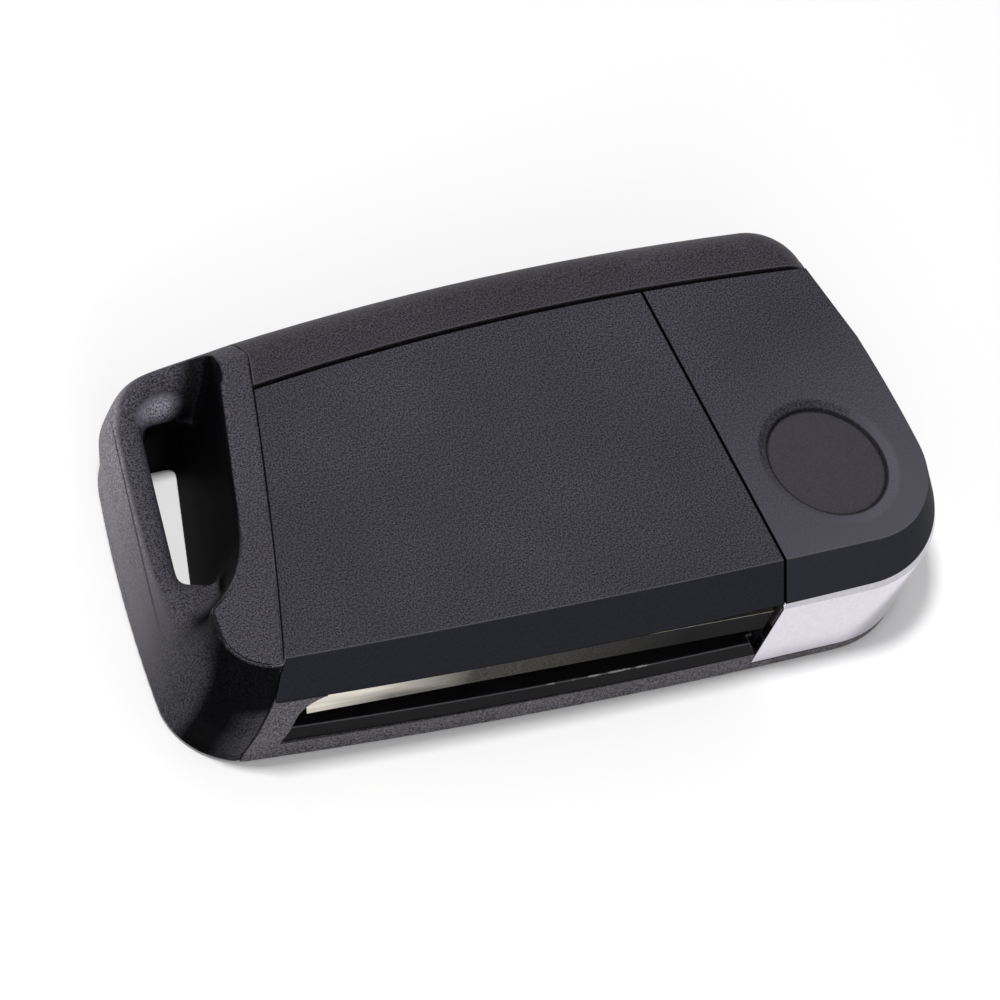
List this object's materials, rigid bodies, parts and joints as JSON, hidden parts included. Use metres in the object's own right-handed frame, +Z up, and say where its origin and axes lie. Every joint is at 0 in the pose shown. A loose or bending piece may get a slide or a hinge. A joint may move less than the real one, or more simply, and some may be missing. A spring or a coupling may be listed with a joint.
{
  "type": "folding remote car key",
  "caption": "Folding remote car key with a swing-out blade, push buttons, a round release button, a lift-off battery cover and a key-ring opening.",
  "frame": {"origin": "middle of the closed key's bounding box, on the plane of the button face it rests on", "axes": "+X from the key-ring end to the flip end, +Y from the blade side to the far side, +Z up from the button face to the battery cover"},
  "size_m": [0.0774, 0.0398, 0.0135],
  "materials": {
    "shell_plastic": "fine grained charcoal",
    "frame_plastic": "smooth black",
    "head_plastic": "satin black",
    "chrome_trim": "bright satin plated",
    "blade_steel": "brushed nickel silver",
    "spring_steel": "drawn wire",
    "screw_steel": "dark plated",
    "button_rubber": "soft matt",
    "membrane_rubber": "silicone",
    "board_laminate": "solder mask green",
    "chip_black": "moulded resin",
    "switch_metal": "stamped sheet",
    "ferrite": "sintered grey",
    "copper_wire": "enamelled winding",
    "cell_steel": "bright can",
    "contact_brass": "plated spring sheet"
  },
  "bodies": {
    "housing": {"front_housing": "shell_plastic", "rear_housing": "shell_plastic", "chassis": "frame_plastic", "corner_cover": "shell_plastic", "ring_cap": "shell_plastic", "keypad_membrane": "membrane_rubber", "circuit_board": "board_laminate", "unlock_switch": "switch_metal", "boot_switch": "switch_metal", "lock_switch": "switch_metal", "microcontroller": "chip_black", "radio_chip": "chip_black", "quartz_crystal": "switch_metal", "small_parts": "chip_black", "ferrite_bar": "ferrite", "antenna_coil": "copper_wire", "coin_cell": "cell_steel", "minus_contact": "contact_brass", "plus_contact": "contact_brass", "case_screws": "screw_steel", "board_screws": "screw_steel", "cap_screw": "screw_steel"},
    "flip": {"flip_head": "head_plastic", "head_trim": "chrome_trim", "key_blade": "blade_steel", "blade_pin": "spring_steel", "spring_washer": "spring_steel", "flip_spring": "spring_steel"},
    "release": {"release_button": "chrome_trim"},
    "unlock_key": {"unlock_button": "button_rubber"},
    "boot_key": {"boot_button": "button_rubber"},
    "lock_key": {"lock_button": "button_rubber"},
    "battery_lid": {"battery_cover": "shell_plastic"}
  },
  "joints": [
    {"name": "blade_flip", "type": "hinge", "parent": "housing", "child": "flip", "pos_m": [0.0269, -0.0081, 0.0055], "axis": [0, 0, 1], "range_deg": [0, 180]},
    {"name": "release_press", "type": "slide", "parent": "flip", "child": "release", "axis": [0, 0, 1], "range_m": [0, 0.0015], "stiffness_N_per_m": 400, "deforming": ["flip_spring"]},
    {"name": "unlock_press", "type": "slide", "parent": "housing", "child": "unlock_key", "axis": [0, 0, 1], "range_m": [0, 0.0004], "stiffness_N_per_m": 1500},
    {"name": "boot_press", "type": "slide", "parent": "housing", "child": "boot_key", "axis": [0, 0, 1], "range_m": [0, 0.0004], "stiffness_N_per_m": 1500},
    {"name": "lock_press", "type": "slide", "parent": "housing", "child": "lock_key", "axis": [0, 0, 1], "range_m": [0, 0.0004], "stiffness_N_per_m": 1500},
    {"name": "cover_lift", "type": "slide", "parent": "housing", "child": "battery_lid", "axis": [0, 0, 1], "range_m": [0, 0.012]}
  ]
}
